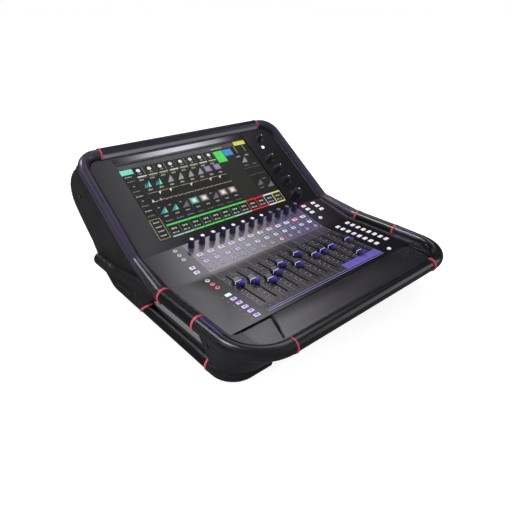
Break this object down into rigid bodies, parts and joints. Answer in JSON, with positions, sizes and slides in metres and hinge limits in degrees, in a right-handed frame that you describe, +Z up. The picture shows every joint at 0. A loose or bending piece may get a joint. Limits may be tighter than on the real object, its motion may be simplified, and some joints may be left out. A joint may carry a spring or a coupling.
{
  "type": "audio mixing console",
  "caption": "Compact digital mixing console with sliding channel faders, rotary knobs, push keys, a tilted display and a tubular bumper frame with side hand grips.",
  "frame": {"origin": "on the ground under the middle of the case footprint, feet standing at z = 0", "axes": "+X to the operator's right, +Y from the operator towards the back, +Z up"},
  "size_m": [0.5662, 0.627, 0.2696],
  "materials": {
    "case_paint": "fine textured powder coat, mid to dark grey",
    "panel_black": "satin black anodised panel",
    "screen_bezel": "satin black",
    "display": "lit display, dark teal",
    "glass_clear": "clear cover glass",
    "housing": "fine textured black",
    "cheek": "fine grained moulded plastic",
    "rail": "smooth semi-gloss tube",
    "corner": "fine grained moulded plastic",
    "grip": "soft rubber grip",
    "ring": "red ring",
    "armrest": "smooth padded black",
    "apron": "satin dark grey",
    "foot": "rubber",
    "screw": "black zinc screw",
    "socket": "nickel",
    "module": "moulded housing",
    "board": "green solder mask",
    "supply": "plain sheet",
    "key": "translucent grey",
    "key_side": "translucent grey lavender",
    "cap": "dark indigo",
    "knob": "soft touch black"
  },
  "bodies": {
    "case": {"base_chassis": "case_paint", "control_panel": "panel_black", "screen_panel": "screen_bezel", "display_module": "display", "cover_glass": "glass_clear", "rear_housing": "housing", "cheek_left": "cheek", "cheek_right": "cheek", "rail_top": "rail", "rail_left": "rail", "rail_right": "rail", "rail_front": "rail", "corner_left": "corner", "corner_right": "corner", "hand_grips": "grip", "rail_rings": "ring", "armrest_pad": "armrest", "front_apron": "apron", "rubber_feet": "foot", "case_screws": "screw", "rear_connectors": "socket", "fader_modules": "module", "encoder_bodies": "module", "circuit_boards": "board", "power_supply": "supply"},
    "keys_mute": {"keys_mute": "key"},
    "keys_select": {"keys_select": "key"},
    "keys_listen": {"keys_listen": "key"},
    "keys_mid_side": {"keys_mid_side": "key_side"},
    "keys_fader_side": {"keys_fader_side": "key_side"},
    "key_screen": {"key_screen": "key"},
    "fader_01": {"fader_cap_01": "cap"},
    "fader_02": {"fader_cap_02": "cap"},
    "fader_03": {"fader_cap_03": "cap"},
    "fader_04": {"fader_cap_04": "cap"},
    "fader_05": {"fader_cap_05": "cap"},
    "fader_06": {"fader_cap_06": "cap"},
    "fader_07": {"fader_cap_07": "cap"},
    "fader_08": {"fader_cap_08": "cap"},
    "fader_09": {"fader_cap_09": "cap"},
    "fader_10": {"fader_cap_10": "cap"},
    "fader_11": {"fader_cap_11": "cap"},
    "fader_12": {"fader_cap_12": "cap"},
    "encoder_01": {"encoder_knob_01": "knob"},
    "encoder_02": {"encoder_knob_02": "knob"},
    "encoder_03": {"encoder_knob_03": "knob"},
    "encoder_04": {"encoder_knob_04": "knob"},
    "encoder_05": {"encoder_knob_05": "knob"},
    "encoder_06": {"encoder_knob_06": "knob"},
    "encoder_07": {"encoder_knob_07": "knob"},
    "encoder_08": {"encoder_knob_08": "knob"},
    "encoder_09": {"encoder_knob_09": "knob"},
    "encoder_10": {"encoder_knob_10": "knob"},
    "encoder_11": {"encoder_knob_11": "knob"},
    "encoder_12": {"encoder_knob_12": "knob"},
    "side_knob_1": {"side_knob_1": "knob"},
    "side_knob_2": {"side_knob_2": "knob"},
    "side_knob_3": {"side_knob_3": "knob"},
    "side_knob_4": {"side_knob_4": "knob"},
    "side_knob_5": {"side_knob_5": "knob"}
  },
  "joints": [
    {"name": "fader_slide_01", "type": "slide", "parent": "case", "child": "fader_01", "axis": [0, 1, 0], "range_m": [-0.0683, 0.0317]},
    {"name": "fader_slide_02", "type": "slide", "parent": "case", "child": "fader_02", "axis": [0, 1, 0], "range_m": [-0.0573, 0.0427]},
    {"name": "fader_slide_03", "type": "slide", "parent": "case", "child": "fader_03", "axis": [0, 1, 0], "range_m": [-0.0393, 0.0607]},
    {"name": "fader_slide_04", "type": "slide", "parent": "case", "child": "fader_04", "axis": [0, 1, 0], "range_m": [-0.0533, 0.0467]},
    {"name": "fader_slide_05", "type": "slide", "parent": "case", "child": "fader_05", "axis": [0, 1, 0], "range_m": [-0.0693, 0.0307]},
    {"name": "fader_slide_06", "type": "slide", "parent": "case", "child": "fader_06", "axis": [0, 1, 0], "range_m": [-0.0483, 0.0517]},
    {"name": "fader_slide_07", "type": "slide", "parent": "case", "child": "fader_07", "axis": [0, 1, 0], "range_m": [-0.0798, 0.0202]},
    {"name": "fader_slide_08", "type": "slide", "parent": "case", "child": "fader_08", "axis": [0, 1, 0], "range_m": [-0.0538, 0.0462]},
    {"name": "fader_slide_09", "type": "slide", "parent": "case", "child": "fader_09", "axis": [0, 1, 0], "range_m": [-0.0548, 0.0452]},
    {"name": "fader_slide_10", "type": "slide", "parent": "case", "child": "fader_10", "axis": [0, 1, 0], "range_m": [-0.0563, 0.0437]},
    {"name": "fader_slide_11", "type": "slide", "parent": "case", "child": "fader_11", "axis": [0, 1, 0], "range_m": [-0.0033, 0.0967]},
    {"name": "fader_slide_12", "type": "slide", "parent": "case", "child": "fader_12", "axis": [0, 1, 0], "range_m": [-0.0553, 0.0447]},
    {"name": "encoder_turn_01", "type": "hinge", "parent": "case", "child": "encoder_01", "pos_m": [-0.14575, 0.03634, 0.10616], "axis": [0, -0.2028, 0.9792], "continuous": true},
    {"name": "encoder_turn_02", "type": "hinge", "parent": "case", "child": "encoder_02", "pos_m": [-0.11925, 0.03634, 0.10616], "axis": [0, -0.2028, 0.9792], "continuous": true},
    {"name": "encoder_turn_03", "type": "hinge", "parent": "case", "child": "encoder_03", "pos_m": [-0.09275, 0.03634, 0.10616], "axis": [0, -0.2028, 0.9792], "continuous": true},
    {"name": "encoder_turn_04", "type": "hinge", "parent": "case", "child": "encoder_04", "pos_m": [-0.06625, 0.03634, 0.10616], "axis": [0, -0.2028, 0.9792], "continuous": true},
    {"name": "encoder_turn_05", "type": "hinge", "parent": "case", "child": "encoder_05", "pos_m": [-0.03975, 0.03634, 0.10616], "axis": [0, -0.2028, 0.9792], "continuous": true},
    {"name": "encoder_turn_06", "type": "hinge", "parent": "case", "child": "encoder_06", "pos_m": [-0.01325, 0.03634, 0.10616], "axis": [0, -0.2028, 0.9792], "continuous": true},
    {"name": "encoder_turn_07", "type": "hinge", "parent": "case", "child": "encoder_07", "pos_m": [0.01325, 0.03634, 0.10616], "axis": [0, -0.2028, 0.9792], "continuous": true},
    {"name": "encoder_turn_08", "type": "hinge", "parent": "case", "child": "encoder_08", "pos_m": [0.03975, 0.03634, 0.10616], "axis": [0, -0.2028, 0.9792], "continuous": true},
    {"name": "encoder_turn_09", "type": "hinge", "parent": "case", "child": "encoder_09", "pos_m": [0.06625, 0.03634, 0.10616], "axis": [0, -0.2028, 0.9792], "continuous": true},
    {"name": "encoder_turn_10", "type": "hinge", "parent": "case", "child": "encoder_10", "pos_m": [0.09275, 0.03634, 0.10616], "axis": [0, -0.2028, 0.9792], "continuous": true},
    {"name": "encoder_turn_11", "type": "hinge", "parent": "case", "child": "encoder_11", "pos_m": [0.11925, 0.03634, 0.10616], "axis": [0, -0.2028, 0.9792], "continuous": true},
    {"name": "encoder_turn_12", "type": "hinge", "parent": "case", "child": "encoder_12", "pos_m": [0.14575, 0.03634, 0.10616], "axis": [0, -0.2028, 0.9792], "continuous": true},
    {"name": "side_knob_turn_1", "type": "hinge", "parent": "case", "child": "side_knob_1", "pos_m": [0.2, 0.22359, 0.23027], "axis": [0, -0.5707, 0.8211], "range_deg": [-150, 150]},
    {"name": "side_knob_turn_2", "type": "hinge", "parent": "case", "child": "side_knob_2", "pos_m": [0.188, 0.16939, 0.19261], "axis": [0, -0.5707, 0.8211], "continuous": true},
    {"name": "side_knob_turn_3", "type": "hinge", "parent": "case", "child": "side_knob_3", "pos_m": [0.1895, 0.14065, 0.17263], "axis": [0, -0.5707, 0.8211], "continuous": true},
    {"name": "side_knob_turn_4", "type": "hinge", "parent": "case", "child": "side_knob_4", "pos_m": [0.19, 0.10945, 0.15094], "axis": [0, -0.5707, 0.8211], "continuous": true},
    {"name": "side_knob_turn_5", "type": "hinge", "parent": "case", "child": "side_knob_5", "pos_m": [0.188, 0.07208, 0.12498], "axis": [0, -0.5707, 0.8211], "continuous": true},
    {"name": "press_keys_mute", "type": "slide", "parent": "case", "child": "keys_mute", "axis": [0, 0.2028, -0.9792], "range_m": [0, 0.0008], "stiffness_N_per_m": 400},
    {"name": "press_keys_select", "type": "slide", "parent": "case", "child": "keys_select", "axis": [0, 0.2028, -0.9792], "range_m": [0, 0.0008], "stiffness_N_per_m": 400},
    {"name": "press_keys_listen", "type": "slide", "parent": "case", "child": "keys_listen", "axis": [0, 0.2028, -0.9792], "range_m": [0, 0.0008], "stiffness_N_per_m": 400},
    {"name": "press_keys_mid_side", "type": "slide", "parent": "case", "child": "keys_mid_side", "axis": [0, 0.2028, -0.9792], "range_m": [0, 0.0008], "stiffness_N_per_m": 400},
    {"name": "press_keys_fader_side", "type": "slide", "parent": "case", "child": "keys_fader_side", "axis": [0, 0, -1], "range_m": [0, 0.0008], "stiffness_N_per_m": 400},
    {"name": "press_key_screen", "type": "slide", "parent": "case", "child": "key_screen", "axis": [0, 0.5707, -0.8211], "range_m": [0, 0.0008], "stiffness_N_per_m": 400}
  ]
}
